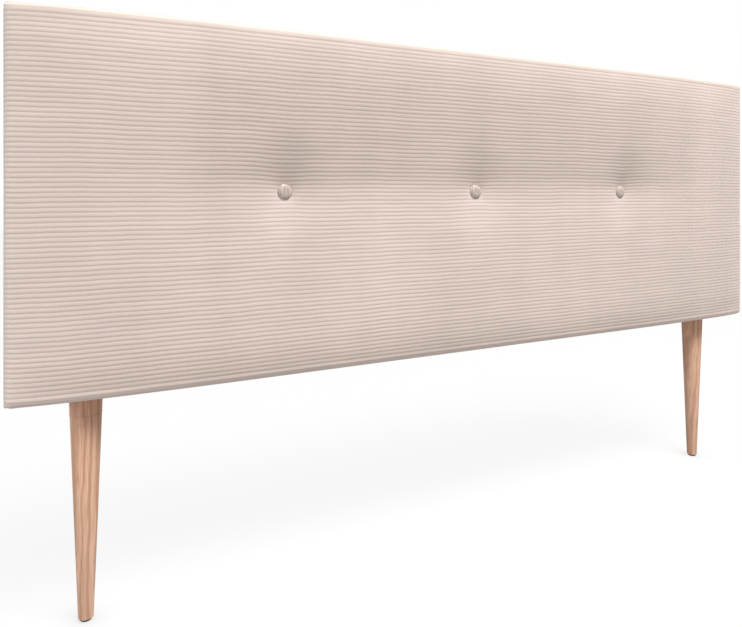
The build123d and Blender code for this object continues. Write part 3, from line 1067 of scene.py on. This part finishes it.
def leg_timber():
    """Pale hardwood under a satin lacquer: growth rings cut by the taper, fine pores, and painted shade
    at the top under the panel.
    """
    material, tree, shader = new_material("pale_lacquered_hardwood", {
        "Roughness": 0.42, "Coat Weight": 0.12, "Coat Roughness": 0.3,
    })
    in_room = add_node(tree, "TexCoord").outputs["Object"]
    pores = noise_on(tree, in_room, (620, 620, 12), 3.0, 0.55)
    figure = noise_on(tree, in_room, (190, 190, 4), 2.0)
    tilted = add_node(tree, "Mapping", {
        "Vector": in_room, "Location": (0.02, 0.055, 0.0),
        "Rotation": (math.radians(3.5), math.radians(-2.0), 0), "Scale": (1, 1, 0.35),
    })
    rings = add_node(tree, "TexWave", {
        "Vector": tilted.outputs[0], "Scale": 30.0, "Distortion": 5.5, "Detail": 3.0,
        "Detail Scale": 0.9, "Detail Roughness": 0.55,
    }, wave_type="RINGS", rings_direction="Z", wave_profile="SIN")
    height = add_node(tree, "SeparateXYZ", {"Vector": in_room}).outputs["Z"]
    # Painted shade under the panel: the leg is darker and redder towards its top
    painted_shade_under_panel = add_node(tree, "MapRange", {"Value": height, "From Min": 0.14, "From Max": 0.34})

    colour = colour_steps(tree, rings.outputs["Fac"], [
        (0.0, (0.610, 0.345, 0.224)), (0.4, (0.692, 0.418, 0.285)),
        (0.8, (0.810, 0.524, 0.380)), (1.0, (0.740, 0.455, 0.317)),
    ])
    colour = shaded(tree, colour, 0.75, pores, [
        (0.30, (0.76, 0.71, 0.67)), (0.5, (0.96, 0.95, 0.94)), (0.72, 1.06),
    ])
    colour = shaded(tree, colour, 0.8, figure, [(0.3, (0.86, 0.81, 0.77)), (0.7, 1.07)])
    colour = shaded(tree, colour, 1.0, painted_shade_under_panel.outputs[0], [
        (0.0, 1.0), (0.7, (1.0, 0.98, 0.96)), (1.0, (0.93, 0.83, 0.75)),
    ])
    give_surface(tree, shader, colour, pores, (0.50, 0.36), 0.12, 0.0003)
    return material


def mottled(
    name, roughness, dark, light, scale, stretch=(1, 1, 1), bump=0.1, depth=0.0004, metallic=0.0,
):
    """Finish whose colour, gloss and surface vary with one fine noise on object coordinates."""
    material, tree, shader = new_material(name, {"Roughness": roughness, "Metallic": metallic})
    in_room = add_node(tree, "TexCoord").outputs["Object"]
    noise = noise_on(tree, in_room, stretch, 4.0, 0.6, scale)
    colour = colour_steps(tree, noise, [(0.3, dark), (0.7, light)])
    rough = max(0.0, roughness - 0.08), min(1.0, roughness + 0.08)
    give_surface(tree, shader, colour, noise, rough, bump, depth)
    return material


# The buttons' cloth is the panel's corduroy darkened, as painted shade of the tufts they sit in
shaded_button_corduroy = corduroy("shaded_button_corduroy", 0.82)
finishes = {
    "corduroy": corduroy("panel_corduroy", 1.0),
    "leg_wood": leg_timber(),
    "frame_timber": mottled(
        "planed_softwood", 0.6, (0.47, 0.31, 0.16), (0.66, 0.48, 0.28), 30.0, stretch=(1, 6, 6),
    ),
    "board": mottled("raw_hardboard", 0.75, (0.17, 0.10, 0.05), (0.27, 0.16, 0.08), 260.0),
    "wadding": mottled(
        "polyester_wadding", 0.95, (0.80, 0.80, 0.78), (0.92, 0.92, 0.90), 180.0, bump=0.4, depth=0.001,
    ),
    "foam": mottled(
        "upholstery_foam", 0.9, (0.66, 0.63, 0.48), (0.80, 0.77, 0.62), 420.0, bump=0.4, depth=0.0006,
    ),
    "dust_cloth": mottled("black_dust_cloth", 0.85, 0.008, 0.028, 900.0, bump=0.3),
    "steel": mottled(
        "bright_zinc", 0.32, (0.50, 0.50, 0.51), (0.66, 0.66, 0.67), 240.0, bump=0.05, metallic=1.0,
    ),
    "twine": mottled("waxed_twine", 0.6, (0.55, 0.50, 0.40), (0.72, 0.68, 0.58), 900.0),
    "plastic": mottled(
        "dark_moulded_plastic", 0.45, (0.016, 0.014, 0.012), (0.035, 0.030, 0.026), 500.0, bump=0.05,
    ),
}
for subpart in frame["record"]["subparts"]:
    node = frame["nodes"][subpart["node"]]
    node.data.materials.clear()
    node.data.materials.append(finishes[subpart["material_slot"]])

finish_piece(cover, "corduroy", ["fabric_cover", "wadding", "foam_pad"])
for button in (left_button, middle_button, right_button):
    finish_piece(button, "corduroy", ["button_covers"], shaded_button_corduroy)
finish_piece(left_leg, "leg_wood", ["left_leg"])
finish_piece(right_leg, "leg_wood", ["right_leg"])
for glide in (left_glide, right_glide):
    finish_piece(glide, "plastic", ["glides"])
finish_piece(dust_sheet, "dust_cloth", ["dust_cover"])
finish_piece(staples, "steel")


# Floor, light and camera

def make_floor():
    """Pale floor that shows the camera white, keeps a soft shadow, and has painted contact shadow round
    the feet.
    """
    bpy.ops.mesh.primitive_plane_add(size=24, location=(0, 0, 0))
    floor = bpy.context.object
    floor.name = "studio_floor"
    material, tree, shader = new_material("pale_floor", {
        "Roughness": 0.9, "Base Color": (0.45, 0.45, 0.45, 1),
    })
    seen = add_node(tree, "LightPath").outputs["Is Camera Ray"]
    # Painted contact shadow: the white the camera sees dims where the feet close the floor in
    openness_for_painted_shadow = add_node(tree, "AmbientOcclusion", {"Distance": 0.07}).outputs["AO"]
    strength = add_node(tree, "MapRange", {
        "Value": openness_for_painted_shadow, "From Min": 0.4, "From Max": 0.97, "To Min": 0.86, "To Max": 1.10,
    })
    glow = add_node(tree, "Emission", {"Color": (1, 1, 1, 1), "Strength": strength.outputs[0]})
    share = add_node(tree, "Math", {0: seen, 1: 0.82}, operation="MULTIPLY").outputs[0]
    both = add_node(tree, "MixShader", {0: share, 1: shader.outputs[0], 2: glow.outputs[0]})
    tree.links.new(both.outputs[0], tree.nodes["Material Output"].inputs["Surface"])
    floor.data.materials.append(material)


def make_studio_light():
    """Soft light from all round that is seen as white, and two soft lamps."""
    world = bpy.data.worlds.new("studio")
    bpy.context.scene.world = world
    world.use_nodes = True
    tree = world.node_tree
    soft = tree.nodes["Background"]
    soft.inputs["Color"].default_value = (1.0, 0.99, 0.98, 1)
    soft.inputs["Strength"].default_value = 0.22
    rays = add_node(tree, "LightPath").outputs
    seen = rays["Is Camera Ray"]
    for way in ("Is Glossy Ray", "Is Transmission Ray"):
        seen = add_node(tree, "Math", {0: seen, 1: rays[way]}, operation="MAXIMUM").outputs[0]
    white = add_node(tree, "Background", {"Color": (1, 1, 1, 1), "Strength": 1.0})
    both = add_node(tree, "MixShader", {0: seen, 1: soft.outputs[0], 2: white.outputs[0]})
    tree.links.new(both.outputs[0], tree.nodes["World Output"].inputs["Surface"])
    add_softbox("overhead_softbox", (1.0, -2.85, 6.1), (0.05, 0.0, 0.6), (4.4, 2.2), energy=567)
    add_softbox("side_softbox", (-3.4, -0.5, 1.0), (-0.8, 0.0, 0.55), (1.0, 1.0), energy=28)


def add_softbox(name, place, towards, size, energy):
    """Rectangular lamp at a place, turned towards a point."""
    lamp = bpy.data.lights.new(name, "AREA")
    lamp.shape = "RECTANGLE"
    lamp.size, lamp.size_y = size
    lamp.energy = energy
    softbox = bpy.data.objects.new(name, lamp)
    bpy.context.collection.objects.link(softbox)
    softbox.location = place
    softbox.rotation_euler = (Vector(towards) - Vector(place)).to_track_quat("-Z", "Y").to_euler()


def make_camera():
    """Level camera before the panel's left end, turned to the right and shifted down a little."""
    data = bpy.data.cameras.new("camera")
    data.sensor_fit = "HORIZONTAL"
    data.sensor_width = 36
    data.lens = 33.40
    data.shift_y = -0.1638
    data.clip_start = 0.05
    camera = bpy.data.objects.new("camera", data)
    bpy.context.collection.objects.link(camera)
    camera.location = (-0.799, -1.103, 0.645)
    camera.rotation_euler = (math.radians(90), 0, math.radians(-28.05))
    bpy.context.scene.camera = camera


make_floor()
make_studio_light()
make_camera()
bpy.context.scene.view_settings.view_transform = "Standard"
